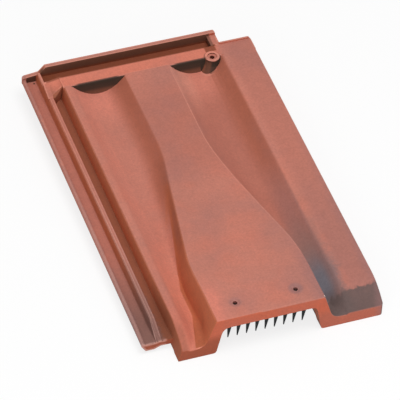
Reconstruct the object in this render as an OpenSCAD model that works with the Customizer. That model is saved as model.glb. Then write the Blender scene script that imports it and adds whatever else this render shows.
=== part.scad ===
// Roof ventilation tile: an interlocking clay tile whose centre rib flares into a vent canopy,
// with a black plastic comb across the mouth of the vent.
// Millimetres, +Z up. The foot is towards -Y, the side lock is at -X, the cover rib at +X.
// The tile lies as it rests on a level floor: on its foot and on the two batten nibs.

/* [Plate] */
// Width over the side lock and the cover rib
tile_width = 250; // [240:1:280]
// Length from the foot to the head rim
tile_length = 422; // [400:1:460]
// Height of the rib tops above the foot
rib_height = 28; // [26:0.5:32]
// Height of the trough floors above the foot
trough_floor = 13; // [11:0.5:15]
// Thickness of the clay under the troughs and the centre rib
clay_thickness = 11.5; // [9:0.5:13]
// Width of the side lock, up to the left rib
lock_width = 35; // [32:0.5:38]
// Width of the flat top of the left rib
left_rib_width = 8; // [6:0.5:12]
// Width of the flat top of the centre rib at the head
centre_rib_width = 50; // [40:1:60]
// Width of the cover rib on the right
cover_rib_width = 38; // [36:0.5:42]
// Run of a trough flank from the floor to the rib top
trough_run = 15; // [12:0.5:17]
// Rounding of the long edges
edge_round = 3; // [1.5:0.25:4]
// Rounding of the upright corners in plan
corner_round = 4; // [2:0.5:6]

/* [Vent canopy] */
// Width of the canopy top at the foot
canopy_width = 115; // [90:1:116]
// Height of the canopy top above the foot
canopy_height = 46; // [42:0.5:52]
// Distance from the foot where the centre rib starts to flare
flare_start = 275; // [240:1:310]
// Distance from the foot where the canopy has its full width
flare_end = 66; // [50:1:100]
// Distance from the foot where the canopy starts to rise
rise_start = 220; // [190:1:260]
// Distance from the foot where the canopy has its full height
rise_end = 34; // [31:1:50]
// Run of the canopy wall from its top edge to its base
wall_batter = 6; // [4:0.5:8]
// Share of the flare over which the trough flank steepens to the canopy wall
wall_share = 0.45; // [0.3:0.05:1]
// Extra run of the canopy wall at the foot
wall_splay = 4.5; // [0:0.5:6]
// Distance from the foot where the cove between wall and trough starts
cove_start = 78; // [50:1:120]
// Width of the cove at the foot
cove_width = 8.5; // [3:0.5:10]
// Length over which the round side of the trough sharpens to the canopy wall
cove_fade = 62; // [30:1:100]
// Rounding of the canopy's long edges
canopy_round = 2; // [1:0.25:4]
// Clay thickness of the canopy top over the mouth
canopy_thickness = 12.5; // [10:0.5:14]
// Clay thickness of the canopy wall, measured level
canopy_wall = 12; // [9:0.5:14]
// Lean of the mouth's sides, less than the wall's own
mouth_lean = 4; // [2:0.5:5]
// Rounding of the upper left corner of the mouth
mouth_corner_left = 8; // [5:0.5:10]
// Rounding of the upper right corner of the mouth
mouth_corner_right = 6; // [4:0.5:8]

/* [Foot] */
// Length over which the ribs drop at the foot
nose_length = 36; // [28:1:46]
// Drop of the rib tops at the foot
nose_drop = 14; // [10:0.5:14.5]
// Depth of the closed lip along the foot
lip_depth = 12; // [9:0.5:15]
// Rounding of the lower edges beside the vent
foot_corner = 3; // [1:0.5:4]
// Rounding of the upper front edge
foot_round = 2; // [1:0.25:3]

/* [Cover rib] */
// Clay thickness over the cover grooves
cover_wall = 6.5; // [5.5:0.5:8]
// Width of the outer flange of the cover rib
flange_width = 8.5; // [7:0.5:10]
// Height of the flange bottom above the foot
flange_bottom = 11; // [9:0.5:13]
// Width of the inner tongue of the cover rib
tongue_width = 7; // [5:0.5:8]
// Height of the tongue bottom above the foot
tongue_bottom = 13; // [11.5:0.5:15]
// Width of the groove between the flange and the tongue
groove_width = 8.5; // [8:0.5:10]
// Distance from the foot to the head end of the cover rib
cover_end = 398; // [392:1:399]

/* [Side lock] */
// Distance from the foot to the foot end of the lock
lock_start = 20.5; // [16:0.5:30]
// Height of the outer rim of the lock
lock_rim_height = 14; // [12:0.5:16]
// Width of the outer rim of the lock
lock_rim_width = 4; // [3:0.5:6]
// Height of the middle rib of the lock
lock_rib_height = 20; // [16:0.5:20.5]
// Distance from the outer side to the middle rib
lock_rib_start = 15.5; // [14:0.5:17]
// Width of the top of the middle rib of the lock
lock_rib_width = 5; // [4:0.5:7]
// Height of the floor of the lock channels
lock_floor = 9; // [7.5:0.5:10]
// Height of the underside of the lock
lock_bottom = 3; // [1.5:0.5:4]
// Length over which the lock ribs fade at the foot
lock_fade = 26; // [15:1:40]

/* [Head lock] */
// Distance from the head rim to the troughs' stop wall
stop_distance = 42; // [38:1:46]
// Drop of the head ledge below the rib tops
ledge_drop = 0.5; // [0.25:0.25:3]
// Depth of the head ledge along the tile
ledge_depth = 17.5; // [12:0.5:18]
// Height of the head channel floor above the foot
head_floor = 14; // [12:0.5:16]
// Height of the head rim above the foot
head_rim_height = 26; // [24:0.5:28]
// Thickness of the head rim
head_rim_depth = 5; // [4:0.5:7]
// Height of the underside of the head
head_bottom = 3.5; // [2:0.5:5]
// Distance from the left side to the high part of the head rim
head_rim_start = 26; // [22:0.5:32]
// Distance from the right side to the end of the head rim
head_rim_end = 33; // [28:0.5:38]

/* [Nail boss] */
// Distance from the right side to the nail hole
nail_from_right = 49.5; // [46:0.5:52]
// Outer diameter of the nail boss
nail_boss_diameter = 16; // [14:0.5:18]
// Diameter of the nail hole
nail_hole_diameter = 5; // [4:0.25:6]
// Diameter of the countersink around the nail hole
nail_sink_diameter = 10.5; // [8:0.5:12]
// Depth of the countersink around the nail hole
nail_sink_depth = 1.5; // [0.5:0.25:3]
// Height of the boss above the rib tops
nail_boss_rise = 0.5; // [0:0.25:2]

/* [Batten nibs] */
// Depth of the nibs below the foot level
nib_drop = 12; // [9:0.5:16]
// Width of one nib
nib_width = 34; // [24:1:36]
// Distance between the middles of the two nibs
nib_spacing = 84; // [70:1:88]
// Distance from the head rim to the batten face of the nibs
nib_face_distance = 36; // [32:1:40]
// Length of a nib at its root
nib_length = 22; // [16:1:26]

/* [Vent comb] */
// Number of teeth in the comb
tooth_count = 9; // [5:1:11]
// Width of a tooth at its root
tooth_width = 3.8; // [3:0.1:5]
// Distance from an end of the comb to the middle of its first tooth
tooth_inset = 2.15; // [2:0.05:4]
// Thickness of the comb
comb_thickness = 2; // [1.5:0.1:2.5]
// Length of the comb flange along the tile
comb_depth = 18; // [14:0.5:20]
// Height of the comb band below the canopy
comb_band = 13; // [8:0.5:16]
// Clearance between the comb and the rounded corners of the mouth
comb_clearance = 0.75; // [0.5:0.25:2]
// Distance from the foot to the front of the comb
comb_setback = 11; // [9:0.5:12]
// Height of the tooth tips above the foot
tooth_tip_height = 3; // [3:0.5:10]
// Lean of the teeth towards the head at their tips
tooth_lean = 3; // [0:0.5:5]
// Diameter of the two peg holes through the canopy
peg_hole_diameter = 5; // [4:0.25:6]
// Play between a peg and its hole, on the diameter
peg_play = 0.3; // [0.1:0.05:0.6]
// Distance from an end of the comb to its peg
peg_inset = 9.75; // [7:0.25:14]
// Distance from the foot to the pegs
peg_from_foot = 20; // [18:0.5:21]
// Depth of a peg's end below the dish
peg_recess = 3; // [1:0.5:5]
// Diameter of the shallow dish around a peg hole
dish_diameter = 12; // [9:0.5:14]
// Depth of the shallow dish around a peg hole
dish_depth = 1.2; // [0.5:0.1:2]

/* [Hidden] */
clay_colour = [0.70, 0.40, 0.32];
comb_colour = [0.06, 0.08, 0.09];
eps = 0.01;

left_edge = lock_width;
left_flank = lock_width + left_rib_width;
right_flank = tile_width - cover_rib_width;
mid_x = (left_flank + right_flank) / 2;
wall_foot_x = lock_width - 3;
underside = max(0.8, trough_floor - clay_thickness);
canopy_half = min(canopy_width / 2, mid_x - left_flank - trough_run - wall_batter - 0.6);
stop_y = tile_length - stop_distance;
ledge_z = rib_height - ledge_drop;
ledge_end = stop_y + ledge_depth;
cover_z = rib_height - cover_wall;
flange_x = tile_width - flange_width;
tongue_x = flange_x - groove_width - 1;
nib_y = tile_length - nib_face_distance;
rest_tilt = atan(nib_drop / nib_y);
front_top = canopy_height - foot_round;
middle_y = (tile_length * cos(rest_tilt) - (head_bottom + front_top) * sin(rest_tilt)) / 2;
comb_top = canopy_height - canopy_thickness;
comb_back = min(comb_setback + comb_depth, rise_end - 1);
mouth_half = canopy_half - canopy_wall + mouth_lean;
comb_left = mid_x - mouth_half + mouth_corner_left + comb_clearance;
comb_right = mid_x + mouth_half - mouth_corner_right - comb_clearance;
comb_width = comb_right - comb_left;
tooth_pitch = (comb_width - 2 * tooth_inset) / (tooth_count - 1);
peg_places = [comb_left + peg_inset, comb_right - peg_inset];
nail_x = tile_width - nail_from_right;
boss_top = rib_height + nail_boss_rise;

// Straight blend from a to b
function blend(a, b, t) = a + (b - a) * t;

// Ramp from 0 to 1 over t from 0 to 1, eased over the share e at both ends
function eased(t, e) =
    t <= 0 ? 0
    : t >= 1 ? 1
    : t < e ? t * t / (2 * e * (1 - e))
    : t > 1 - e ? 1 - (1 - t) * (1 - t) / (2 * e * (1 - e))
    : (t - e / 2) / (1 - e);

function flare(y) = eased((flare_start - y) / (flare_start - flare_end), 0.18);
function rise(y) = eased((rise_start - y) / (rise_start - rise_end), 0.18);
function front_drop(y) =
    y < foot_round ? foot_round - sqrt(foot_round * foot_round - pow(foot_round - y, 2)) : 0;
function nose(y) = y < nose_length ? nose_drop * pow(1 - y / nose_length, 2) : 0;
function rib_z(y) = rib_height - nose(y) - front_drop(y);
function splay(y) = y < nose_length ? wall_splay * pow(1 - y / nose_length, 2) : 0;
function cove(y) = blend(1, cove_width, max(0, 1 - y / cove_start));
function sharpness(y) = eased((cove_start + cove_fade - y) / cove_fade, 0.3);
function floor_z(y) = min(trough_floor, rib_height - nose_drop - 0.5) - front_drop(y);
function canopy_z(y) = blend(rib_height, canopy_height, rise(y)) - front_drop(y);
function half_width(y) = blend(centre_rib_width / 2, canopy_half, flare(y));
function lip(y) = y <= lip_depth ? 1 : y >= lip_depth + 3 ? 0 : 1 - (y - lip_depth) / 3;
function hollow_end(y) = y < stop_y - 20 ? 0 : min(1, (y - stop_y + 20) / 14);
function hollow_z(y) =
    blend(
        blend(rib_height - clay_thickness, canopy_height - canopy_thickness, rise(y)),
        underside + 0.2,
        hollow_end(y)
    );

// Point at the distance d from p towards q
function towards(p, q, d) = p + (q - p) * (d / norm(q - p));

// Points of a rounded corner at p, cut back by da towards a and db towards b
function corner(a, p, b, da, db, n) =
    let (
        u = towards(p, a, min(da, norm(a - p) * 0.98)),
        v = towards(p, b, min(db, norm(b - p) * 0.98))
    )
    [for (i = [0 : n]) let (t = i / n) u * pow(1 - t, 2) + p * 2 * t * (1 - t) + v * t * t];

// A list without its first point, where that repeats the last point before it
function tail(list) = [for (i = [1 : len(list) - 1]) list[i]];

// Cross-section of the plate at the distance y from the foot, as points across and up
function section(y) =
    let (
        zr = rib_z(y),
        zf = floor_z(y),
        zc = canopy_z(y),
        h = half_width(y),
        f = flare(y),
        run = blend(trough_run, wall_batter, min(1, f / wall_share)) + splay(y),
        flank_run = trough_run * (zr - zf) / (rib_height - trough_floor),
        low = -y * tan(rest_tilt),
        base = blend(underside, low, lip(y)),
        p0 = [wall_foot_x, base],
        p1 = [left_edge, zr],
        p2 = [left_flank, zr],
        p3 = [left_flank + flank_run, zf],
        p4 = [mid_x - h - run, zf],
        p5 = [mid_x - h, zc],
        p6 = [mid_x + h, zc],
        p7 = [mid_x + h + run, zf],
        p8 = [right_flank - flank_run, zf],
        p9 = [right_flank, zr],
        p10 = [tile_width, zr],
        p11 = [tile_width, blend(flange_bottom, low, lip(y))],
        p12 = [flange_x, blend(flange_bottom, low, lip(y))],
        p13 = [flange_x - 0.8, blend(cover_z, low, lip(y))],
        p14 = [tongue_x + 0.8, blend(cover_z, low, lip(y))],
        p15 = [tongue_x, blend(tongue_bottom, low, lip(y))],
        p16 = [tongue_x - tongue_width, blend(tongue_bottom, low, lip(y))],
        p17 = [tongue_x - tongue_width - 0.8, blend(cover_z, low, lip(y))],
        p18 = [right_flank + 5, blend(cover_z, low, lip(y))],
        p19 = [right_flank + 5 - 16, base],
        top_half = h - blend(3, canopy_wall - mouth_lean, f),
        base_half = top_half + blend(15, 6.5, f),
        zh = hollow_z(y),
        p20 = [mid_x + base_half, base],
        p21 = [mid_x + top_half, zh],
        p22 = [mid_x - top_half, zh],
        p23 = [mid_x - base_half, base],
        floor_left = p4[0] - p3[0],
        floor_right = p8[0] - p7[0],
        sharp = sharpness(y),
        cove_left = min(floor_left * 0.9, blend(floor_left / 2, cove(y), sharp)),
        cove_right = min(floor_right * 0.9, blend(floor_right / 2, cove(y), sharp)),
        e = edge_round,
        c = canopy_round,
        wall = norm(p5 - p4),
        reach = blend(wall - c - 1.4, cove(y), sharp),
        flank = norm(p3 - p2) - e,
        deep = zh - base,
        k = min(foot_corner, deep * 0.4)
    )
    concat(
        [p0],
        corner(p0, p1, p2, c, c, 3),
        corner(p1, p2, p3, e, e, 3),
        tail(corner(p2, p3, p4, flank, floor_left - cove_left, 7)),
        tail(corner(p3, p4, p5, cove_left, reach, 7)),
        corner(p4, p5, p6, c, c, 4),
        corner(p5, p6, p7, c, c, 4),
        corner(p6, p7, p8, reach, cove_right, 7),
        tail(corner(p7, p8, p9, floor_right - cove_right, flank, 7)),
        tail(corner(p8, p9, p10, e, e, 4)),
        corner(p9, p10, p11, e, e, 3),
        [p11, p12, p13, p14, p15, p16, p17, p18, p19],
        corner(p19, p20, p21, k, k, 3),
        corner(p20, p21, p22, min(mouth_corner_right, deep * 0.5), mouth_corner_right, 4),
        corner(p21, p22, p23, mouth_corner_left, min(mouth_corner_left, deep * 0.5), 5),
        corner(p22, p23, p0, k, k, 3)
    );

// Distances from the foot at which the plate is sectioned
foot_stations = [0, foot_round * 0.15, foot_round * 0.45, foot_round, 5, 8, lip_depth, lip_depth + 3];
nose_stations = [for (k = [1 : 4]) blend(lip_depth + 3, nose_length, k / 4)];
flare_stations = [for (k = [1 : 20]) blend(nose_length, flare_start + 4, k / 20)];
head_stations = [stop_y - 60, stop_y - 20, stop_y - 6, stop_y + 2];
stations = concat(foot_stations, nose_stations, flare_stations, head_stations);

// Twice the signed area of a triangle, negative when it runs clockwise
function turn(a, b, c) = (b[0] - a[0]) * (c[1] - a[1]) - (b[1] - a[1]) * (c[0] - a[0]);
function covers(a, b, c, p) = turn(a, b, p) <= 0 && turn(b, c, p) <= 0 && turn(c, a, p) <= 0;

// True if the corner at position i of a clockwise outline can be cut off as one triangle
function is_ear(pts, ids, i) =
    let (
        n = len(ids),
        a = pts[ids[(i + n - 1) % n]],
        b = pts[ids[i]],
        c = pts[ids[(i + 1) % n]]
    )
    turn(a, b, c) < -0.000001
        && len([for (k = ids) let (p = pts[k]) if (p != a && p != b && p != c && covers(a, b, c, p)) 1]) == 0;
function next_ear(pts, ids, i) = i >= len(ids) - 1 || is_ear(pts, ids, i) ? i : next_ear(pts, ids, i + 1);

// Triangles that fill a clockwise outline, as triples of point numbers
function fill(pts, ids, done) =
    len(ids) <= 3
        ? concat(done, [ids])
        : let (
            n = len(ids),
            i = next_ear(pts, ids, 0),
            rest = [for (k = [0 : n - 1]) if (k != i) ids[k]]
        )
        fill(pts, rest, concat(done, [[ids[(i + n - 1) % n], ids[i], ids[(i + 1) % n]]]));

// Solid through a list of sections, given as points across and up at each distance from the foot
module loft(sections, distances) {
    count = len(sections[0]);
    last = len(sections) - 1;
    points = [for (k = [0 : last]) for (p = sections[k]) [p[0], distances[k], p[1]]];
    sides = [
        for (k = [0 : last - 1])
            for (i = [0 : count - 1])
                let (
                    j = (i + 1) % count,
                    a = k * count + i,
                    b = (k + 1) * count + i,
                    c = (k + 1) * count + j,
                    d = k * count + j
                )
                each [[a, b, c], [a, c, d]]
    ];
    order = [for (i = [0 : count - 1]) i];
    front = fill(sections[0], order, []);
    back = [for (f = fill(sections[last], order, [])) [for (k = [2, 1, 0]) last * count + f[k]]];
    polyhedron(points = points, faces = concat(sides, front, back), convexity = 12);
}

// Cross-section of the side lock; fade is 0 along the lock and 1 at its foot end
function lock_section(fade) =
    let (
        top = lock_floor + 3.5,
        rim = blend(lock_rim_height, top, fade),
        rib = blend(lock_rib_height, top, fade),
        bed = blend(lock_floor, top - 0.8, fade),
        r0 = lock_rib_start,
        r1 = lock_rib_start + 1.5,
        r2 = r1 + lock_rib_width,
        r3 = r2 + 2
    )
    [
        [0, min(lock_bottom + 7, rim - 2)],
        [0, rim - 1.2],
        [1.2, rim],
        [lock_rim_width - 1, rim],
        [lock_rim_width, rim - 0.8],
        [lock_rim_width + 0.8, bed],
        [r0 - 0.6, bed],
        [r0, bed + 0.6],
        [r1, rib - 0.8],
        [r1 + 0.8, rib],
        [r2 - 0.8, rib],
        [r2, rib - 0.8],
        [r3, bed + 1],
        [left_edge + 0.5, bed + 1],
        [left_edge + 0.5, lock_bottom + 3],
        [r1 + 3, lock_bottom + 3],
        [r0 - 2, lock_bottom],
        [4.5, lock_bottom]
    ];

// Plate with troughs, canopy and cover rib, from the foot to the stop wall
module plate() {
    loft([for (y = stations) section(y)], stations);
}

// Side lock along the left side
module side_lock() {
    ends = [lock_start, lock_start + 3, lock_start + lock_fade, tile_length - head_rim_depth];
    fades = [1, 0.92, 0, 0];
    loft([for (f = fades) lock_section(f)], ends);
}

// Extrudes a profile, drawn as distance from the foot and height, from the left x0 to x1
module across(x0, x1) {
    translate([x0, 0, 0])
        rotate([90, 0, 90])
            linear_extrude(height = x1 - x0)
                children();
}

// Ledge, channel and rim of the head lock
module head_lock() {
    rim_y = tile_length - head_rim_depth;
    across(left_edge - 1, tile_width - head_rim_end)
        polygon([
            [stop_y - 4, head_bottom],
            [stop_y - 4, trough_floor],
            [stop_y - 0.6, ledge_z - 0.6],
            [stop_y + 0.2, ledge_z],
            [ledge_end - 1.2, ledge_z],
            [ledge_end, ledge_z - 1.2],
            [ledge_end + 1, head_floor],
            [rim_y, head_floor],
            [rim_y, head_bottom]
        ]);
    across(lock_rib_start + 1, left_edge)
        polygon([
            [ledge_end - 2, head_bottom],
            [ledge_end - 2, head_floor],
            [rim_y + 0.5, head_floor],
            [rim_y + 0.5, head_bottom]
        ]);
    translate([0, tile_length, 0])
        rotate([90, 0, 0])
            linear_extrude(height = head_rim_depth)
                polygon([
                    [0, lock_bottom + 6],
                    [0, lock_rim_height + 1],
                    [1, lock_rim_height + 2],
                    [head_rim_start - 7, lock_rim_height + 4],
                    [head_rim_start, head_rim_height],
                    [tile_width - head_rim_end - 1, head_rim_height],
                    [tile_width - head_rim_end, head_rim_height - 1],
                    [tile_width - head_rim_end, head_bottom],
                    [4.5, head_bottom]
                ]);
    translate([tile_width - head_rim_end - 10, ledge_end - 2, head_bottom])
        cube([10, tile_length - ledge_end - 1, head_rim_height - head_bottom - 3]);
}

// Ledge's left end, which runs down to the middle rib of the lock and ends its inner channel aslant
module lock_ramp() {
    x0 = lock_rib_start + 1;
    x1 = lock_rib_start + lock_rib_width + 3.5;
    x2 = left_edge + 1;
    plan = [[x0, stop_y - 4], [x1, stop_y - 4], [x2, stop_y + 5], [x2, ledge_end], [x0, ledge_end]];
    heights = [lock_rib_height, lock_rib_height, ledge_z, ledge_z, (ledge_z + lock_rib_height) / 2];
    polyhedron(
        points = concat(
            [for (p = plan) [p[0], p[1], head_bottom]],
            [for (k = [0 : 4]) [plan[k][0], plan[k][1], heights[k]]]
        ),
        faces = concat(
            [[5, 7, 6], [5, 8, 7], [5, 9, 8], [0, 1, 2, 3, 4]],
            [for (k = [0 : 4]) [k, k + 5, (k + 1) % 5 + 5, (k + 1) % 5]]
        )
    );
}

// Tool that rounds an upright corner at x, y by r; the clay lies in the quadrant turned by a
module corner_tool(x, y, r, a) {
    translate([x, y, -30])
        rotate([0, 0, a])
            linear_extrude(height = 100)
                difference() {
                    translate([-1, -1])
                        square(r + 1);
                    translate([r, r])
                        circle(r = r, $fn = 64);
                }
}

// Head end of the cover rib, past the stop wall
module cover_end_piece() {
    translate([0, cover_end, 0])
        rotate([90, 0, 0])
            linear_extrude(height = cover_end - stop_y)
                polygon([
                    [right_flank - 4, head_bottom],
                    [right_flank - 4, ledge_z],
                    [right_flank + 1, rib_height],
                    [tile_width - 1, rib_height],
                    [tile_width, rib_height - 1],
                    [tile_width, flange_bottom],
                    [flange_x, flange_bottom],
                    [flange_x - 0.8, cover_z],
                    [tongue_x + 0.8, cover_z],
                    [tongue_x, tongue_bottom],
                    [tongue_x - tongue_width, tongue_bottom],
                    [tongue_x - tongue_width - 0.8, cover_z],
                    [right_flank + 5, cover_z],
                    [right_flank + 5, head_bottom]
                ]);
    translate([right_flank + 2, cover_end - 2, rib_height - 0.5])
        cube([tile_width - right_flank - 4, 2, 2]);
}

// Nail boss on the stop wall of the right trough
module nail_boss() {
    translate([nail_x, stop_y, underside - 0.5])
        cylinder(h = boss_top - underside + 0.5, d = nail_boss_diameter, $fn = 64);
}

// One nib that hooks over the roof batten; its bottom lies in the resting plane
module nib(x) {
    y0 = nib_y;
    y1 = nib_y + nib_length;
    y2 = nib_y + nib_length * 0.6;
    across(x - nib_width / 2, x + nib_width / 2)
        polygon([
            [y0, head_bottom + 2],
            [y1, head_bottom + 2],
            [y1, head_bottom],
            [y2, -y2 * tan(rest_tilt)],
            [y0, -y0 * tan(rest_tilt)]
        ]);
}

// Round holes through the clay
module clay_holes() {
    translate([nail_x, stop_y, -20])
        cylinder(h = 80, d = nail_hole_diameter, $fn = 64);
    translate([nail_x, stop_y, boss_top - nail_sink_depth])
        cylinder(h = nail_sink_depth + 1, d = nail_sink_diameter, $fn = 64);
    for (x = peg_places) {
        translate([x, peg_from_foot, comb_top - 5])
            cylinder(h = canopy_thickness + 10, d = peg_hole_diameter, $fn = 64);
        translate([x, peg_from_foot, canopy_height - dish_depth])
            cylinder(h = dish_depth + eps, d1 = peg_hole_diameter + 2, d2 = dish_diameter, $fn = 64);
    }
}

// Part of the head channel that cuts into the head of the side lock
module channel_end() {
    translate([lock_rib_start + 4, ledge_end + 1, head_floor])
        cube([left_edge - lock_rib_start, tile_length - head_rim_depth - ledge_end - 1, 40]);
}

// Rounded upright corners of the plan
module plan_corners() {
    corner_tool(0, tile_length, corner_round, -90);
    corner_tool(tile_width - head_rim_end, tile_length, corner_round * 0.6, 180);
    corner_tool(tile_width, cover_end, corner_round, 180);
    corner_tool(tile_width, 0, corner_round, 90);
}

// Turns and moves a piece from the plane of the plate to its rest on the floor
module at_rest() {
    translate([-tile_width / 2, -middle_y, 0])
        rotate([rest_tilt, 0, 0])
            children();
}

module tile_body() {
    color(clay_colour)
        at_rest()
            difference() {
                union() {
                    plate();
                    side_lock();
                    head_lock();
                    lock_ramp();
                    cover_end_piece();
                    nail_boss();
                    nib(mid_x - nib_spacing / 2);
                    nib(mid_x + nib_spacing / 2);
                }
                clay_holes();
                channel_end();
                plan_corners();
            }
}

// One tooth: a tapered spike that leans back towards its tip
module tooth(x) {
    root = comb_top - comb_band;
    w = tooth_width / 2;
    t = comb_thickness;
    tip = tooth_tip_height;
    back = comb_setback + tooth_lean;
    polyhedron(
        points = [
            [x - w, comb_setback, root + eps],
            [x + w, comb_setback, root + eps],
            [x + w, comb_setback + t, root + eps],
            [x - w, comb_setback + t, root + eps],
            [x - 0.4, back, tip],
            [x + 0.4, back, tip],
            [x + 0.4, back + 0.8, tip],
            [x - 0.4, back + 0.8, tip]
        ],
        faces = [
            [0, 3, 2, 1],
            [4, 5, 6, 7],
            [0, 1, 5, 4],
            [1, 2, 6, 5],
            [2, 3, 7, 6],
            [3, 0, 4, 7]
        ]
    );
}

module vent_comb() {
    t = comb_thickness;
    color(comb_colour)
        at_rest() {
            across(comb_left, comb_right)
                polygon([
                    [comb_setback, comb_top - comb_band],
                    [comb_setback, comb_top],
                    [comb_back, comb_top],
                    [comb_back, comb_top - t],
                    [comb_setback + t, comb_top - t],
                    [comb_setback + t, comb_top - comb_band]
                ]);
            for (k = [0 : tooth_count - 1])
                tooth(comb_left + tooth_inset + k * tooth_pitch);
            for (x = peg_places)
                translate([x, peg_from_foot, comb_top - t / 2])
                    cylinder(
                        h = canopy_thickness - dish_depth - peg_recess + t / 2,
                        d = peg_hole_diameter - peg_play,
                        $fn = 64
                    );
        }
}

tile_body();
vent_comb();
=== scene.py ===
"""Roof ventilation tile: a fired clay tile with a black plastic comb under its vent canopy."""
import math

import bpy
from mathutils import Matrix, Vector


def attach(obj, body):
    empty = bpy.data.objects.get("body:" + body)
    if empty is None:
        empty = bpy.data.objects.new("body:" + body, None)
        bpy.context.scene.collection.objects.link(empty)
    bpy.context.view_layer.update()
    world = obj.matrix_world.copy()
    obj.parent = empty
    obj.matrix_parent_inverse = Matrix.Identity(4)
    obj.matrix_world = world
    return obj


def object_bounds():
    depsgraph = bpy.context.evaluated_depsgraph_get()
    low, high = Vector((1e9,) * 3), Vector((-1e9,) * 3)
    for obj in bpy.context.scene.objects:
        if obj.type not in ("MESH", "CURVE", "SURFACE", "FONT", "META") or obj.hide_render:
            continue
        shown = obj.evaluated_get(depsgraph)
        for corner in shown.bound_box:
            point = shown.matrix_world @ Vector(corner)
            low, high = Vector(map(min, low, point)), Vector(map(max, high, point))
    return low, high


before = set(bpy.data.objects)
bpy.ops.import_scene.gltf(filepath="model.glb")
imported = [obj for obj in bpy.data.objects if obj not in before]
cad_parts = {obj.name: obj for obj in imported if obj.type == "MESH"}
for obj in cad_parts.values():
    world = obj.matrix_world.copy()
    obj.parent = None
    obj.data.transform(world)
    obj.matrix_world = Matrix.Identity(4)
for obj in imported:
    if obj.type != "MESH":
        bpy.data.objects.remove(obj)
cad_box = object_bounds()

MM = 0.001

# Places on the tile in its own plane, in millimetres: across it from the lock side, along it from the foot,
# and up from the foot's underside. The tile lies tilted on its nibs.
TILE_WIDTH = (cad_box[1][0] - cad_box[0][0]) / MM
FOOT_TO_MIDDLE = 210.16
FOOT_TO_NIBS = 386
NIB_DROP = 12
REST_TILT = math.atan(NIB_DROP / FOOT_TO_NIBS)
TROUGH_Z = 13
RIB_Z = 28
LOCK_START = 20.5
STOP_WALL = 380
LEDGE_END = 397.5
RIM_START = 417
NAIL_HOLE = (200.5, 380, 0)
CHIP = (185.6, 2.6, 45.2)
PIT = (12.5, 413.8, 9)

# Where the canopy's left wall meets the trough: a place across the tile, which swings in and out along it
WALL_LINE = 61
WALL_NARROWS_FROM = 79
WALL_NARROWING = 0.224
WALL_FLARES_BEFORE = 44
WALL_FLARING = 0.256

# The flared foot of the nail boss, in millimetres
SKIRT_RADIUS = 7.9
SKIRT_INSIDE = 6.5
SKIRT_TOP = 26
SKIRT_BOTTOM = 12
SKIRT_FLARE = 7.5
SKIRT_CURVE = 1.5
SKIRT_TURN = math.radians(230)
SKIRT_REACH = math.radians(98)
SKIRT_LEVELS = 10
SKIRT_SIDES = 64

# Rounding of the edges
CLAY_ROUNDING = 0.7 * MM
COMB_ROUNDING = 0.25 * MM
ROUNDING_SEGMENTS = 2
ROUNDED_FROM = math.radians(32)
WELD_REACH = 0.002 * MM

# The photograph's view: a long lens, turned and rolled a little
VIEW_AZIMUTH = math.radians(21.14)
VIEW_ELEVATION = math.radians(43.631)
VIEW_ROLL = math.radians(2.52)
VIEW_AIM = Vector((-3.59, -18.45, 21.52)) * MM
VIEW_DISTANCE = 3739.4 * MM
VIEW_END = 30.0
LENS_MM = 326.84
SENSOR_MM = 36.0

# The studio, in metres and watts. A soft light has a name, a place, a power and a size.
LIGHTS = (("key", (0.15, -0.55, 2.2), 30, 1.2), ("fill", (-1.1, -1.9, 0.7), 13, 1.5))
SKY_STRENGTH = 0.4
FLOOR_REACH = 12.0
FLOOR_DROP = 0.1 * MM
FLOOR_GLOW = 0.8


def srgb(red, green, blue):
    """A colour in sRGB from 0 to 255, as the linear colour that a shader takes."""
    channels = []
    for value in (red, green, blue):
        share = value / 255
        channels.append(share / 12.92 if share <= 0.04045 else ((share + 0.055) / 1.055) ** 2.4)
    return (*channels, 1.0)


# Colours as a plain light shows them
CLAY_ORANGE = srgb(190, 95, 68)
CLAY_FOOT = srgb(154, 77, 52)
CLAY_NOSE = srgb(178, 97, 76)
CLAY_BROWN = srgb(184, 101, 68)
# Painted light: lighter clay deep in the inner lock channel, set against the channel's own shade
CLAY_DEEP_PAINTED_LIGHT = srgb(196, 107, 73)
# Painted shade: darker floor and head end of the inner lock channel
CLAY_BED_PAINTED_SHADE = srgb(146, 84, 60)
# Painted shade: darker colour of slopes that face left
CLAY_SLOPE_PAINTED_SHADE = srgb(166, 95, 74)
CLAY_RIB = srgb(174, 105, 89)
CLAY_PINK = srgb(191, 120, 103)
CLAY_DUSTY = srgb(184, 117, 101)
CLAY_ROSE = srgb(199, 117, 97)
# CLAY_LIGHT is also painted light on the left trough's right-facing flank
CLAY_LIGHT = srgb(212, 130, 111)
# Painted light: lighter clay in the left trough's foot, where the canopy and the rib shade it
CLAY_WARM_PAINTED_LIGHT = srgb(220, 135, 111)
CLAY_CORNER = srgb(211, 124, 105)
CLAY_TROUGH = srgb(177, 108, 91)
CLAY_COVER = srgb(182, 113, 97)
CLAY_GREYED = srgb(165, 108, 97)
CLAY_LOCK = srgb(178, 109, 93)
CLAY_LEDGE = srgb(213, 122, 99)
CLAY_RIM = srgb(172, 113, 99)
# CLAY_PALE is painted light on a right-facing flank near the head, and colours the paler edges: wear and
# partly a painted highlight
CLAY_PALE = srgb(222, 148, 128)
CHIP_WHITE = srgb(250, 232, 222)
STAIN_BLUE = srgb(120, 119, 127)
STAIN_GREY = srgb(97, 80, 77)
STAIN_BROWN = srgb(150, 119, 112)
STAIN_EDGE = srgb(138, 102, 96)
STAIN_MAUVE = srgb(142, 104, 102)
STAIN_LOCK = srgb(122, 88, 80)
# Paler edges in the lock's stain: wear, and partly a painted highlight
PALE_EDGE_MAUVE = srgb(186, 142, 132)
# Painted shade: near-black for the troughs' half-moon ends, the nail boss's front, the outer lock's head and
# a pit
PAINTED_SHADE_BLACK = srgb(48, 37, 28)
# Painted shade: dark brown at the foot of the half-moon ends and on the left of the boss skirt
PAINTED_SHADE_DARK_BROWN = srgb(106, 67, 50)
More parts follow.
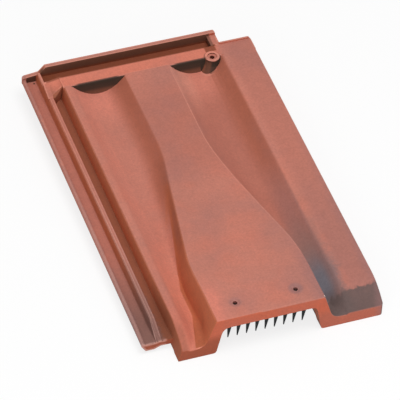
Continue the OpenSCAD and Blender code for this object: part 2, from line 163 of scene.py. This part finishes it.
# Painted shade in the head channel, on the ledge's back edge and in the gap behind the nail boss
CHANNEL_PAINTED_SHADE = srgb(100, 64, 48)
CHANNEL_PAINTED_SHADE_RED = srgb(124, 62, 36)
# Painted shade: brown darkening for tight corners, slopes below the crest, the lock's foot and the left rib's
# end
PAINTED_SHADE_BROWN = srgb(112, 62, 42)
# Painted shade inside the nail hole
BORE_PAINTED_SHADE = srgb(104, 44, 29)
COMB_BLACK = srgb(8, 11, 13)
COMB_GREY = srgb(15, 20, 23)
FLOOR_WHITE = srgb(250, 250, 250)
WHITE = (1, 1, 1, 1)

# Noises; scale counts waves in a metre
PATCHES = dict(scale=34, detail=3.0, roughness=0.45)
BROAD = dict(scale=11, detail=2.0)
FRAY = dict(scale=330, detail=3.0, roughness=0.6)
SCALLOPS = dict(scale=190, detail=1.0)
CLOUDS = dict(scale=21, detail=3.0, roughness=0.5)
SPECKLE = dict(scale=420, detail=4.0, roughness=0.65)
GRAIN = dict(scale=1900, detail=3.0, roughness=0.7)
MOTTLE = dict(scale=110, detail=3.0, roughness=0.6)
STREAKS = dict(scale=260, detail=2.0)
COMB_SWEEP = dict(scale=90, detail=2.0)
COMB_GRAIN = dict(scale=2600, detail=2.0)
NOISE_LOW = 0.3
NOISE_HIGH = 0.7
NOISE_MIDDLE = 0.5

# How far borders wander with a noise, in millimetres
PATCHES_SWING = 14
FRAY_SWING = 9
SCALLOPS_SWING = 13

# The streaks are drawn out along the tile
STREAKS_SCALE = (1, 0.03, 1)

# How far each noise lightens and darkens the clay, and how deep its relief is
SPECKLE_TONE = 0.1
GRAIN_TONE = 0.08
MOTTLE_TONE = 0.035
STREAKS_TONE = 0.014
GRAIN_RELIEF = 0.6
CLAY_RELIEF = 0.2 * MM
COMB_RELIEF = 0.08 * MM

# How near clay has to be to count as a tight corner, and how thin it has to be to count as an edge
CORNER_REACH = 5 * MM
EDGE_REACH = 3 * MM

# The dusty coat lies where the clay faces up and right. The canopy's crest is bare further round.
SPRAY_FROM = Vector((0.4, 0.0, 0.9)).normalized()
SPRAYED = (0.1, 0.45)
CREST_BARE = 0.3

# Regions of the clay. Each gives the stretches that its points lie in: across, along and up in millimetres,
# or how far a surface faces right, the head or up, from -1 to 1. A stretch of two numbers fades in from the
# first to the second. A stretch of three runs from the first to the second, with soft borders inside it as
# wide as the third. Frayed measures and nose_border wander with a noise, past_wall counts from the wall line
# and from_nail from the nail hole's axis. Openness, thickness, patches, broad and clouds go from 0 to 1.

# Stretches that several regions share
OUTER_CHANNEL = (4, 16, 1.2)
INNER_CHANNEL = (21, 36.5, 1.5)
BETWEEN_LOCKS = (19, 211, 2)
RAISED = (RIB_Z - 6, RIB_Z - 3)
BELOW_RIB = (RIB_Z - 0.1, RIB_Z - 0.9)
TO_FOOT = (-0.25, -0.55)

# Regions of the bare clay
FACES_FOOT = dict(facing_head=TO_FOOT)
FRONTS = dict(facing_head=(-0.3, -0.75))
CANOPY_FRONT = dict(up=(16, 30))
TOWARDS_NOSE = dict(across=(60, 220))
# LOCK_DEPTH: painted light deep in the inner lock channel
LOCK_DEPTH = dict(across=INNER_CHANNEL, along=(40, 110), up=(23, 12))
# LOCK_FLOOR: painted shade on the inner lock channel's floor
LOCK_FLOOR = dict(across=INNER_CHANNEL, facing_up=(0.5, 0.85))
LOCK_BED = dict(across=INNER_CHANNEL, up=(25, 19))
# LOCK_FOOT: painted shade near the foot of the lock
LOCK_FOOT = dict(across=(40, 37), along=(110, 30))

# Regions of the dusty coat
DUSTY_PATCHES = dict(broad=(0.36, 0.62))
ROSE_PATCHES = dict(patches=(0.4, 0.75))
LEFT_TROUGH = dict(across=(35, 120, 8), up=(RIB_Z, RIB_Z - 5))
RIGHT_TROUGH = dict(across=(160, 173), up=(RIB_Z - 1, TROUGH_Z + 4))
# TROUGH_FEET: with LEFT_TROUGH, painted light in the left trough's foot
TROUGH_FEET = dict(along=(170, 60))
TROUGH_HEADS = dict(along=(315, 368))
CENTRE_RIB = dict(across=(90, 213, 13), along=(190, 380, 60))
COVER_RIB = dict(across=(214, 226))
COVER_FOOT = dict(along=(230, 80))
LOCK_SIDE = dict(across=(26, 22))
LEFT_RIB_FOOT = dict(across=(30, 54, 4), along=(80, 20))
# LEFT_RIB_END: painted shade on the left rib's foot end
LEFT_RIB_END = dict(across=(30, 45, 5), along=(38, 14))
LEDGE = dict(across=(216, 206), along=(STOP_WALL, LEDGE_END + 3, 3), up=(21, 25))
CANOPY_CORNER = dict(across=(93, 75), along=(66, 30), up=(38, 42))
HEAD_RIM = dict(along=(RIM_START - 2, RIM_START))

# Regions of the ribs, their flanks and the canopy's walls
BESIDE_CANOPY = dict(across=(43, 106, 4), along=(215, 150), up=(34, 26), facing_head=(-0.55, -0.3))
BEFORE_WALL = dict(past_wall=(0.8, -0.8))
PAST_WALL = dict(past_wall=(-0.8, 0.8))
# WALL_CORNER: painted shade where the canopy's left wall meets the trough near the foot
WALL_CORNER = dict(past_wall=(-0.8, 11, 2), along=(48, 20))
WALL_END = dict(along=(120, 105))
LEANS_LEFT = dict(facing_right=(-0.02, -0.15))
# SLOPES_LEFT: painted shade on slopes that face left
SLOPES_LEFT = dict(facing_right=(-0.12, -0.64))
RIGHT_SLOPE = dict(across=(150, 170), along=(250, 150))
# HEAD_FLANK and LEFT_FLANK: painted light on flanks that face right
HEAD_FLANK = dict(across=(138, 148), along=(290, 365), facing_right=(0.15, 0.5))
LEFT_FLANK = dict(across=(42, 62, 4), along=(60, 120), facing_right=(0.08, 0.3))
LEFT_CREST = dict(across=(60, 120, 5), along=(205, 150))
# BELOW_CREST: painted shade on the left-facing slope below the canopy's crest
BELOW_CREST = dict(across=(68, 118, 8), along=(90, 270, 50), up=(17, 25), facing_right=(-0.35, -0.7))
# RIGHT_CREST: a pale line along the crest, wear and partly a painted highlight
RIGHT_CREST = dict(across=(138, 192, 6), along=(60, 382, 8), up=(24, 27), facing_right=(0.03, 0.3, 0.09))

# Regions of the paler edges, which are wear and partly a painted highlight
THIN_EDGES = dict(thickness=(0.95, 0.7), openness=(0.8, 0.97), along=(2, 14))
CLEAR_OF_FOOT = dict(along=(60, 110))
RIGHT_OF_LEFT_RIB = dict(across=(56, 64))
LEFT_OF_LEFT_RIB = dict(across=(28, 25))

# Regions of the stains
BEHIND_FRONT = dict(along=(0.1, 0.9))
BEHIND_NOSE = dict(along=(12, 40))
VALLEY = dict(frayed_across=(176, 184), frayed_along=(165, 45), up=(43, 37))
VALLEY_END = dict(along=(50, 100))
VALLEY_SIDE = dict(across=(203, 211), along=(12, 22))
LEFT_OF_COVER = dict(frayed_across=(225, 211))
SHOULDER = dict(frayed_across=(166, 185), across=(190, 186), frayed_along=(120, 30), up=(32, 38))
NOSE = dict(frayed_across=(188, 198), nose_border=(23, 18.5))
NOSE_SIDE = dict(across=(238, TILE_WIDTH))
NOSE_SIDE_LENGTH = 4
COVER_SIDE = dict(frayed_across=(238, TILE_WIDTH), frayed_along=(330, 60))
LOCK_STAIN = dict(
    frayed_across=(28, 21), frayed_along=(170, 30), along=(LOCK_START + 0.1, LOCK_START + 0.9))
LOCK_RIM = dict(frayed_across=(7, 3))
LOCK_EDGES = dict(across=(27, 24), along=(330, 120))
CLOUDED_TOPS = dict(clouds=(0.42, 0.75), across=(62, 90), up=(18, 27))

# Regions of painted shade: the head channel, the half-moon ends, the nail boss and its bore, the lock's heads
# and tight corners; and of the countersink's own clay colour
HEAD_OF_LOCK = dict(across=INNER_CHANNEL, along=(366, 394, 6), facing_head=TO_FOOT)
HEAD_CHANNEL = dict(across=BETWEEN_LOCKS, along=(LEDGE_END - 0.4, 421, 1.5))
CHANNEL_WALLS = dict(up=(25.5, 22))
CHANNEL_FLOOR = dict(up=(19, 14))
LEDGE_BACK = dict(across=BETWEEN_LOCKS, along=(LEDGE_END - 3, 403, 1.8), up=RAISED)
BEHIND_BOSS = dict(across=(195.5, 209.5, 2), along=(387.5, 400, 2), up=RAISED)
HALF_MOONS = dict(across=(40, 209, 2), along=(371, 394, 2), up=(2, 4), facing_head=TO_FOOT)
HALF_MOON_FLOOR = dict(up=(21, 15))
HALF_MOON_EDGE = dict(along=(STOP_WALL - 3, STOP_WALL + 2.4, 1.4), up=RAISED)
LEFT_HALF_MOON = dict(across=(46, 98, 6))
RIGHT_HALF_MOON = dict(across=(156, 196, 6))
BOSS_WALL = dict(from_nail=(6.5, 9.4, 0.6), up=BELOW_RIB)
BOSS_SKIRT = dict(from_nail=(7.5, 14.2, 0.6), up=BELOW_RIB, across=(211, 208))
SKIRT_LEFT = dict(across=(202, 195), facing_right=(-0.2, -0.5))
COUNTERSINK = dict(from_nail=(6.5, 6), up=BELOW_RIB)
BORE = dict(from_nail=(2.9, 2.4))
HEAD_OF_OUTER_LOCK = dict(across=OUTER_CHANNEL, along=(408, 412), facing_head=TO_FOOT)
# TIGHT_CORNERS: painted shade where the clay is closed in
TIGHT_CORNERS = dict(openness=(0.45, 0.1))

# Grey rings round the two peg holes: place, radius and strength. A ring fades in from its radius to a share
# of it.
PEG_RINGS = (((96.5, 20, 0), 8, 0.45), ((160.5, 20, 0), 9.5, 0.65))
RING_CORE = 0.55
CANOPY_TOP = dict(up=(36, 40))

# Small marks: place, radius and paint, which fade in as the rings do
# The pit's dark spot is painted shade
SPOTS = ((CHIP, 1.5, CHIP_WHITE), (PIT, 1.4, PAINTED_SHADE_BLACK))
SPOT_CORE = 0.6


class Graph:
    """Shader nodes of one material, added and linked one call at a time."""

    def __init__(self, name):
        self.material = bpy.data.materials.new(name)
        self.material.use_nodes = True
        self.tree = self.material.node_tree
        self.tree.nodes.clear()
        self.output = self.tree.nodes.new("ShaderNodeOutputMaterial")

    def set(self, socket, value):
        """Links a socket, or sets a number, vector or colour on it."""
        if isinstance(value, bpy.types.NodeSocket):
            self.tree.links.new(value, socket)
        else:
            socket.default_value = value

    def add(self, kind, inputs, result=0, **settings):
        """Adds a node with its settings and inputs, and gives the socket of its result."""
        node = self.tree.nodes.new("ShaderNode" + kind)
        for name, value in settings.items():
            setattr(node, name, value)
        for name, value in inputs.items():
            self.set(node.inputs[name], value)
        return node.outputs[result]

    def parts(self, vector):
        """The three parts of a vector."""
        node = self.tree.nodes.new("ShaderNodeSeparateXYZ")
        self.set(node.inputs[0], vector)
        return node.outputs[0], node.outputs[1], node.outputs[2]

    def math(self, operation, a, b):
        """Result of an operation on two numbers."""
        return self.add("Math", {0: a, 1: b}, operation=operation)

    def product(self, *shares):
        """Shares multiplied."""
        result = shares[0]
        for share in shares[1:]:
            result = self.math("MULTIPLY", result, share)
        return result

    def dot(self, a, b):
        """Dot product of two vectors."""
        return self.add("VectorMath", {0: a, 1: b}, "Value", operation="DOT_PRODUCT")

    def distance(self, a, b):
        """Distance between two points."""
        return self.add("VectorMath", {0: a, 1: b}, "Value", operation="DISTANCE")

    def noise(self, where, scale, detail, roughness=0.55):
        """Noise, mostly from NOISE_LOW to NOISE_HIGH."""
        inputs = {"Vector": where, "Scale": scale, "Detail": detail, "Roughness": roughness}
        return self.add("TexNoise", inputs)

    def scaled(self, noise, low, high):
        """A noise spread evenly from low to high."""
        inputs = {
            "Value": noise, "From Min": NOISE_LOW, "From Max": NOISE_HIGH, "To Min": low, "To Max": high}
        return self.add("MapRange", inputs)

    def swing(self, noise, width):
        """A noise as a length that swings about 0."""
        return self.math("MULTIPLY", self.math("SUBTRACT", noise, NOISE_MIDDLE), width)

    def step(self, value, low, high):
        """Smooth step from 0 at low to 1 at high, or falling where high is below low."""
        inputs = {"Value": value, "From Min": low, "From Max": high}
        return self.add("MapRange", inputs, interpolation_type="SMOOTHSTEP", clamp=True)

    def mix(self, share, a, b, blend="MIX"):
        """Colour a blended to colour b by a share from 0 to 1."""
        node = self.tree.nodes.new("ShaderNodeMix")
        node.data_type = "RGBA"
        node.blend_type = blend
        for socket, value in ((node.inputs[0], share), (node.inputs[6], a), (node.inputs[7], b)):
            self.set(socket, value)
        return node.outputs[2]

    def plate_place(self):
        """Place on the tile in its own plane, in metres."""
        rotation = Matrix.Rotation(-REST_TILT, 3, "X")
        location = rotation @ Vector((TILE_WIDTH / 2, FOOT_TO_MIDDLE, 0)) * MM
        coordinates = self.add("TexCoord", {}, "Object")
        inputs = {"Vector": coordinates, "Location": location, "Rotation": (-REST_TILT, 0, 0)}
        return self.add("Mapping", inputs, vector_type="POINT")

    def finish(self, shader):
        """Gives the material its shader."""
        self.set(self.output.inputs["Surface"], shader)
        return self.material


class Clay(Graph):
    """Shader nodes of the clay, with the measures of its surface that the regions are given in."""

    def __init__(self, name):
        super().__init__(name)
        self.place = self.plate_place()
        self.spot = self.add("VectorMath", {0: self.place, "Scale": 1 / MM}, operation="SCALE")
        self.across, self.along, self.up = self.parts(self.spot)
        self.normal = self.add("NewGeometry", {}, "Normal")
        self.facing_right, self.facing_head, self.facing_up = self.parts(self.normal)
        self.openness = self.add("AmbientOcclusion", {"Distance": CORNER_REACH}, "AO", samples=8)
        self.thickness = self.add("AmbientOcclusion", {"Distance": EDGE_REACH}, "AO", samples=12, inside=True)
        self.plan = self.add("CombineXYZ", {0: self.across, 1: self.along})
        self.from_nail = self.distance(self.plan, NAIL_HOLE)
        self.past_wall = self.math("SUBTRACT", self.across, self.wall_line())
        self.patches = self.noise(self.place, **PATCHES)
        self.broad = self.noise(self.place, **BROAD)
        self.clouds = self.noise(self.place, **CLOUDS)
        fray = self.swing(self.noise(self.place, **FRAY), FRAY_SWING)
        wander = self.math("ADD", self.swing(self.patches, PATCHES_SWING), fray)
        self.frayed_across = self.math("ADD", self.across, wander)
        self.frayed_along = self.math("ADD", self.along, wander)
        self.nose_border = self.math("SUBTRACT", self.along, self.nose_wander())
        # Paler convex edges: wear, and partly a painted highlight
        self.wear_and_highlight = self.where(
            THIN_EDGES, self.either(CLEAR_OF_FOOT, RIGHT_OF_LEFT_RIB, LEFT_OF_LEFT_RIB))

    def wall_line(self):
        """Place across the tile where the canopy's left wall meets the trough."""
        past = self.math("MAXIMUM", self.math("SUBTRACT", self.along, WALL_NARROWS_FROM), 0.0)
        before = self.math("MAXIMUM", self.math("SUBTRACT", WALL_FLARES_BEFORE, self.along), 0.0)
        inwards = self.math("MULTIPLY", past, WALL_NARROWING)
        outwards = self.math("MULTIPLY", before, WALL_FLARING)
        return self.math("ADD", self.math("SUBTRACT", inwards, outwards), WALL_LINE)

    def nose_wander(self):
        """How far the nose's stain reaches past its border: in scallops, and further down its outer side."""
        scallops = self.swing(self.noise(self.place, **SCALLOPS), SCALLOPS_SWING)
        return self.math("ADD", scallops, self.where(NOSE_SIDE, NOSE_SIDE_LENGTH))

    def stretch(self, value, low, high, soft=None):
        """Share from 0 to 1 that fades in from low to high, or is 1 between them with soft borders."""
        if soft is None:
            return self.step(value, low, high)
        return self.product(self.step(value, low, low + soft), self.step(value, high, high - soft))

    def where(self, *places):
        """Share from 0 to 1 that is 1 where all the places meet. A place is a region, or a share itself."""
        shares = []
        for place in places:
            if isinstance(place, dict):
                shares += [self.stretch(getattr(self, measure), *ends) for measure, ends in place.items()]
            else:
                shares.append(place)
        return self.product(*shares)

    def either(self, *places):
        """Share from 0 to 1 that is 1 in any of the places."""
        result = self.where(places[0])
        for place in places[1:]:
            result = self.math("MAXIMUM", result, self.where(place))
        return result

    def outside(self, place):
        """Share from 0 to 1 that is 1 outside a place."""
        return self.math("SUBTRACT", 1.0, self.where(place))

    def paint(self, colour, *coats):
        """Colour with coats over it: each is a paint, its strength from 0 to 1 and the places it lies in."""
        for paint, strength, *places in coats:
            colour = self.mix(self.where(*places, strength), colour, paint)
        return colour


def clay_material():
    """Fired clay with a dusty top, orange sides, grey kiln stains, painted shade in recesses, corners and on
    left-facing slopes, painted light in places, paler edges and a sandy grain.
    """
    clay = Clay("fired_clay")
    trough_floor = clay.where(BESIDE_CANOPY, BEFORE_WALL)
    wall_foot = clay.where(BESIDE_CANOPY, PAST_WALL, clay.either(LEANS_LEFT, WALL_END))
    # Painted shade: slopes facing left get a darker colour, greyed on the right trough's side
    painted_shade_slope = clay.paint(CLAY_SLOPE_PAINTED_SHADE, (CLAY_GREYED, 1.0, RIGHT_SLOPE))
    dusty = clay.paint(
        dusty_coat(clay),
        (painted_shade_slope, 1.0, SLOPES_LEFT, clay.outside(trough_floor)),
        # Painted light on flanks that face right
        (CLAY_PALE, 0.6, HEAD_FLANK),
        (CLAY_LIGHT, 0.35, LEFT_FLANK))

    crest = clay.where(LEFT_CREST, CREST_BARE)
    facing_spray = clay.math("SUBTRACT", clay.dot(clay.normal, SPRAY_FROM), crest)
    coated = clay.either(clay.step(facing_spray, *SPRAYED), trough_floor)
    colour = clay.paint(
        bare_clay(clay),
        (dusty, 1.0, coated, clay.outside(wall_foot), clay.outside(LOCK_BED)),
        # Painted shade below the left crest and in the corner at the canopy's left wall
        (PAINTED_SHADE_BROWN, 0.3, BELOW_CREST),
        (PAINTED_SHADE_BROWN, 0.25, BESIDE_CANOPY, WALL_CORNER),
        # Paler edges and crest line: wear, and partly a painted highlight
        (CLAY_PALE, 0.5, clay.wear_and_highlight),
        (CLAY_PALE, 0.38, RIGHT_CREST))
    for add_coats in (stains, recesses, marks):
        colour = add_coats(clay, colour)
    return sandy(clay, colour)


def bare_clay(clay):
    """Colour of the clay that the dusty coat leaves bare: brown sides, lighter deep in the inner lock channel
    as painted light, painted shade on the channel's floor and near the foot, and orange fronts.
    """
    sides = clay.paint(
        CLAY_BROWN,
        # Painted light deep in the inner lock channel
        (CLAY_DEEP_PAINTED_LIGHT, 1.0, LOCK_DEPTH),
        # Painted shade on the inner lock channel's floor
        (CLAY_BED_PAINTED_SHADE, 1.0, LOCK_FLOOR),
        # Painted shade near the lock's foot
        (PAINTED_SHADE_BROWN, 0.55, LOCK_FOOT))
    fronts = clay.paint(
        CLAY_FOOT,
        (CLAY_NOSE, 1.0, TOWARDS_NOSE),
        (CLAY_ORANGE, 1.0, CANOPY_FRONT))
    return clay.paint(sides, (fronts, 1.0, FRONTS))


def dusty_coat(clay):
    """Colour of the dusty coat: pink ribs, browner right side, bright ledge and trough heads, painted light
    in the left trough's foot and painted shade on the left rib's end.
    """
    cover = clay.paint(CLAY_COVER, (CLAY_GREYED, 1.0, COVER_FOOT))
    return clay.paint(
        CLAY_PINK,
        (CLAY_DUSTY, 1.0, DUSTY_PATCHES),
        (CLAY_ROSE, 0.55, ROSE_PATCHES),
        (CLAY_TROUGH, 0.85, RIGHT_TROUGH),
        # Painted light in the left trough's foot
        (CLAY_WARM_PAINTED_LIGHT, 0.85, LEFT_TROUGH, TROUGH_FEET),
        (CLAY_RIB, 0.6, CENTRE_RIB),
        (CLAY_LIGHT, 0.8, clay.either(LEFT_TROUGH, RIGHT_TROUGH), TROUGH_HEADS),
        (cover, 0.85, COVER_RIB),
        (CLAY_LOCK, 0.85, LOCK_SIDE),
        (CLAY_ROSE, 0.9, LEFT_RIB_FOOT),
        # Painted shade on the left rib's foot end
        (PAINTED_SHADE_BROWN, 0.4, LEFT_RIB_END),
        (CLAY_LEDGE, 0.8, LEDGE),
        (CLAY_CORNER, 0.75, CANOPY_CORNER),
        (CLAY_RIM, 0.75, HEAD_RIM))


def stains(clay, colour):
    """Kiln stains: grey-blue in the right trough's foot, grey on the nose beside it, mauve on the lock."""
    valley = clay.paint(
        STAIN_GREY,
        (STAIN_BLUE, 1.0, BEHIND_NOSE),
        (STAIN_BROWN, 1.0, VALLEY_END),
        (STAIN_EDGE, 0.8, VALLEY_SIDE))
    return clay.paint(
        colour,
        (valley, 0.94, VALLEY, LEFT_OF_COVER, BEHIND_FRONT),
        (STAIN_MAUVE, 0.6, SHOULDER, BEHIND_FRONT),
        (STAIN_GREY, 0.93, NOSE, BEHIND_FRONT),
        (STAIN_MAUVE, 0.45, COVER_SIDE),
        (STAIN_LOCK, 0.9, LOCK_STAIN),
        (STAIN_MAUVE, 0.4, LOCK_RIM),
        # Paler edges in the lock: wear, and partly a painted highlight
        (PALE_EDGE_MAUVE, 0.6, clay.wear_and_highlight, LOCK_EDGES),
        (STAIN_MAUVE, 0.26, CLOUDED_TOPS))


def recesses(clay, colour):
    """Painted shade in the head channel, in the troughs' half-moon ends, round the nail boss and its bore and
    at the lock's heads, and darker in tight corners.
    """
    # Painted shade in the head channel, redder on its floor
    channel = clay.paint(CHANNEL_PAINTED_SHADE, (CHANNEL_PAINTED_SHADE_RED, 1.0, CHANNEL_FLOOR))
    # Painted shade on the troughs' half-moon ends, browner at their floor
    half_moon = clay.paint(PAINTED_SHADE_BLACK, (PAINTED_SHADE_DARK_BROWN, 1.0, HALF_MOON_FLOOR))
    return clay.paint(
        colour,
        # Painted shade on the foot-facing head end of the inner lock channel
        (CLAY_BED_PAINTED_SHADE, 0.9, HEAD_OF_LOCK),
        (channel, 0.94, HEAD_CHANNEL, clay.either(CHANNEL_WALLS, FACES_FOOT)),
        # Painted shade on the ledge's back edge and in the gap behind the nail boss
        (CHANNEL_PAINTED_SHADE_RED, 0.8, LEDGE_BACK),
        (CHANNEL_PAINTED_SHADE_RED, 0.85, BEHIND_BOSS),
        # Painted shade on the half-moon ends and round the nail boss
        (half_moon, 0.97, HALF_MOONS),
        (PAINTED_SHADE_BLACK, 0.8, clay.either(LEFT_HALF_MOON, RIGHT_HALF_MOON), HALF_MOON_EDGE),
        (PAINTED_SHADE_BLACK, 0.95, BOSS_WALL),
        (PAINTED_SHADE_BLACK, 0.95, BOSS_SKIRT, FACES_FOOT),
        (PAINTED_SHADE_DARK_BROWN, 0.8, BOSS_SKIRT, SKIRT_LEFT),
        (CLAY_PINK, 0.9, COUNTERSINK),
        # Painted shade inside the nail hole
        (BORE_PAINTED_SHADE, 0.95, BORE),
        # Painted shade at the outer lock's head
        (PAINTED_SHADE_BLACK, 0.85, HEAD_OF_OUTER_LOCK),
        # Painted shade in tight corners
        (PAINTED_SHADE_BROWN, 0.25, TIGHT_CORNERS))


def marks(clay, colour):
    """Grey rings round the peg holes, a fresh chip at the canopy's corner, and a dark spot of painted shade
    for a small pit in the lock.
    """
    for hole, radius, strength in PEG_RINGS:
        ring = clay.step(clay.distance(clay.plan, hole), radius, radius * RING_CORE)
        colour = clay.paint(colour, (STAIN_MAUVE, strength, ring, CANOPY_TOP))
    for point, radius, paint in SPOTS:
        spot = clay.step(clay.distance(clay.spot, point), radius, radius * SPOT_CORE)
        colour = clay.paint(colour, (paint, 0.9, spot))
    return colour


def sandy(clay, colour):
    """Material of the clay in a colour, with a sandy grain, mottling and fine streaks along the tile."""
    speckle = clay.noise(clay.place, **SPECKLE)
    grain = clay.noise(clay.place, **GRAIN)
    mottle = clay.noise(clay.place, **MOTTLE)
    drawn_out = clay.add("Mapping", {"Vector": clay.place, "Scale": STREAKS_SCALE}, vector_type="POINT")
    streaks = clay.noise(drawn_out, **STREAKS)
    tones = ((speckle, SPECKLE_TONE), (grain, GRAIN_TONE), (mottle, MOTTLE_TONE), (streaks, STREAKS_TONE))
    for noise, tone in tones:
        colour = clay.mix(1.0, colour, clay.scaled(noise, 1 - tone, 1 + tone), "MULTIPLY")
    relief = clay.math("ADD", clay.math("MULTIPLY", grain, GRAIN_RELIEF), speckle)
    bump = clay.add("Bump", {"Height": relief, "Strength": 0.3, "Distance": CLAY_RELIEF})
    return clay.finish(clay.add("BsdfPrincipled", {
        "Base Color": colour, "Roughness": clay.scaled(speckle, 0.72, 0.9), "Specular IOR Level": 0.3,
        "Normal": bump}))


def comb_material():
    """Black moulded plastic with a fine matt texture."""
    plastic = Graph("black_plastic")
    place = plastic.plate_place()
    sweep = plastic.noise(place, **COMB_SWEEP)
    grain = plastic.noise(place, **COMB_GRAIN)
    colour = plastic.mix(plastic.step(sweep, 0.35, 0.65), COMB_BLACK, COMB_GREY)
    bump = plastic.add("Bump", {"Height": grain, "Strength": 0.25, "Distance": COMB_RELIEF})
    return plastic.finish(plastic.add("BsdfPrincipled", {
        "Base Color": colour, "Roughness": plastic.scaled(sweep, 0.55, 0.72), "Specular IOR Level": 0.2,
        "Normal": bump}))


def seen_directly(tree):
    """Share from 0 to 1 that is 1 for camera rays, and for those mirrored or let through on their way."""
    path = tree.nodes.new("ShaderNodeLightPath")
    total = path.outputs["Is Camera Ray"]
    for name in ("Is Glossy Ray", "Is Transmission Ray"):
        either = tree.nodes.new("ShaderNodeMath")
        either.operation = "MAXIMUM"
        tree.links.new(total, either.inputs[0])
        tree.links.new(path.outputs[name], either.inputs[1])
        total = either.outputs[0]
    return total


def floor_material():
    """White studio floor, which shows the camera a paler shadow than the light alone would."""
    floor = Graph("studio_floor")
    light = floor.add("BsdfDiffuse", {"Color": FLOOR_WHITE})
    glow = floor.add("Emission", {"Color": WHITE, "Strength": 1.0})
    share = floor.math("MULTIPLY", seen_directly(floor.tree), FLOOR_GLOW)
    return floor.finish(floor.add("MixShader", {0: share, 1: light, 2: glow}))


def dress(node, material, rounding):
    """Gives a CAD node its finish, smooth faces and softly rounded edges."""
    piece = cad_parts[node]
    piece.data.materials.clear()
    piece.data.materials.append(material)
    for face in piece.data.polygons:
        face.use_smooth = True
    weld = piece.modifiers.new("weld", "WELD")
    weld.merge_threshold = WELD_REACH
    soften = piece.modifiers.new("soften", "BEVEL")
    soften.width = rounding
    soften.segments = ROUNDING_SEGMENTS
    soften.limit_method = "ANGLE"
    soften.angle_limit = ROUNDED_FROM
    normals = piece.modifiers.new("normals", "WEIGHTED_NORMAL")
    normals.keep_sharp = True


def skirt_profile(turn):
    """Radii and heights of the boss skirt's section at a turn: down its outside and up its inside."""
    fade = max(0.0, math.cos((turn - SKIRT_TURN) / SKIRT_REACH * math.pi / 2))
    outline = []
    for level in range(SKIRT_LEVELS + 1):
        share = level / SKIRT_LEVELS
        radius = SKIRT_RADIUS + SKIRT_FLARE * fade * share ** SKIRT_CURVE
        outline.append((radius, SKIRT_TOP + (SKIRT_BOTTOM - SKIRT_TOP) * share))
    return outline + [(SKIRT_INSIDE, SKIRT_BOTTOM), (SKIRT_INSIDE, SKIRT_TOP)]


def add_boss_skirt(material):
    """The flared foot of the nail boss, which widens towards the foot and the middle of the trough."""
    to_middle = Matrix.Translation(Vector((-TILE_WIDTH / 2, -FOOT_TO_MIDDLE, 0)))
    to_rest = to_middle @ Matrix.Rotation(REST_TILT, 4, "X")
    corners = []
    for side in range(SKIRT_SIDES):
        turn = 2 * math.pi * side / SKIRT_SIDES
        for radius, up in skirt_profile(turn):
            across = NAIL_HOLE[0] + radius * math.cos(turn)
            along = NAIL_HOLE[1] + radius * math.sin(turn)
            corners.append(to_rest @ Vector((across, along, up)) * MM)
    count = len(corners) // SKIRT_SIDES
    faces = []
    for side in range(SKIRT_SIDES):
        this_side = side * count
        next_side = (side + 1) % SKIRT_SIDES * count
        for point in range(count):
            after = (point + 1) % count
            faces.append((this_side + point, this_side + after, next_side + after, next_side + point))
    mesh = bpy.data.meshes.new("boss_skirt")
    mesh.from_pydata(corners, [], faces)
    for face in mesh.polygons:
        face.use_smooth = face.index % count < SKIRT_LEVELS
    mesh.materials.append(material)
    skirt = bpy.data.objects.new("boss_skirt", mesh)
    bpy.context.scene.collection.objects.link(skirt)
    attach(skirt, "root")


def add_floor():
    """A wide level floor under the tile."""
    reach = FLOOR_REACH
    mesh = bpy.data.meshes.new("floor")
    corners = [(-reach, -reach, 0), (reach, -reach, 0), (reach, reach, 0), (-reach, reach, 0)]
    mesh.from_pydata(corners, [], [(0, 1, 2, 3)])
    mesh.materials.append(floor_material())
    floor = bpy.data.objects.new("floor", mesh)
    floor.location.z = -FLOOR_DROP
    bpy.context.scene.collection.objects.link(floor)


def add_light(name, place, power, size):
    """A square soft light that faces the tile."""
    data = bpy.data.lights.new(name, "AREA")
    data.energy = power
    data.size = size
    lamp = bpy.data.objects.new(name, data)
    lamp.location = place
    lamp.rotation_euler = (-Vector(place)).to_track_quat("-Z", "Y").to_euler()
    bpy.context.scene.collection.objects.link(lamp)


def add_world():
    """An even pale sky: white to the camera, and dimmer as a light."""
    world = bpy.data.worlds.new("studio")
    world.use_nodes = True
    nodes = world.node_tree.nodes
    links = world.node_tree.links
    level = nodes.new("ShaderNodeMapRange")
    level.inputs["To Min"].default_value = SKY_STRENGTH
    level.inputs["To Max"].default_value = 1.0
    links.new(seen_directly(world.node_tree), level.inputs["Value"])
    background = nodes["Background"]
    background.inputs["Color"].default_value = WHITE
    links.new(level.outputs[0], background.inputs["Strength"])
    bpy.context.scene.world = world


def add_camera():
    """The photograph's camera."""
    data = bpy.data.cameras.new("camera")
    data.lens = LENS_MM
    data.sensor_width = SENSOR_MM
    data.clip_end = VIEW_END
    level = math.cos(VIEW_ELEVATION)
    forward = Vector((
        level * math.sin(VIEW_AZIMUTH), level * math.cos(VIEW_AZIMUTH), -math.sin(VIEW_ELEVATION)))
    camera = bpy.data.objects.new("camera", data)
    turn = forward.to_track_quat("-Z", "Y") @ Matrix.Rotation(VIEW_ROLL, 3, "Z").to_quaternion()
    camera.rotation_euler = turn.to_euler()
    camera.location = VIEW_AIM - forward * VIEW_DISTANCE
    bpy.context.scene.collection.objects.link(camera)
    bpy.context.scene.camera = camera


clay_finish = clay_material()
dress("tile_body", clay_finish, CLAY_ROUNDING)
add_boss_skirt(clay_finish)
dress("vent_comb", comb_material(), COMB_ROUNDING)
add_floor()
for light in LIGHTS:
    add_light(*light)
add_world()
add_camera()
bpy.context.scene.view_settings.view_transform = "Standard"
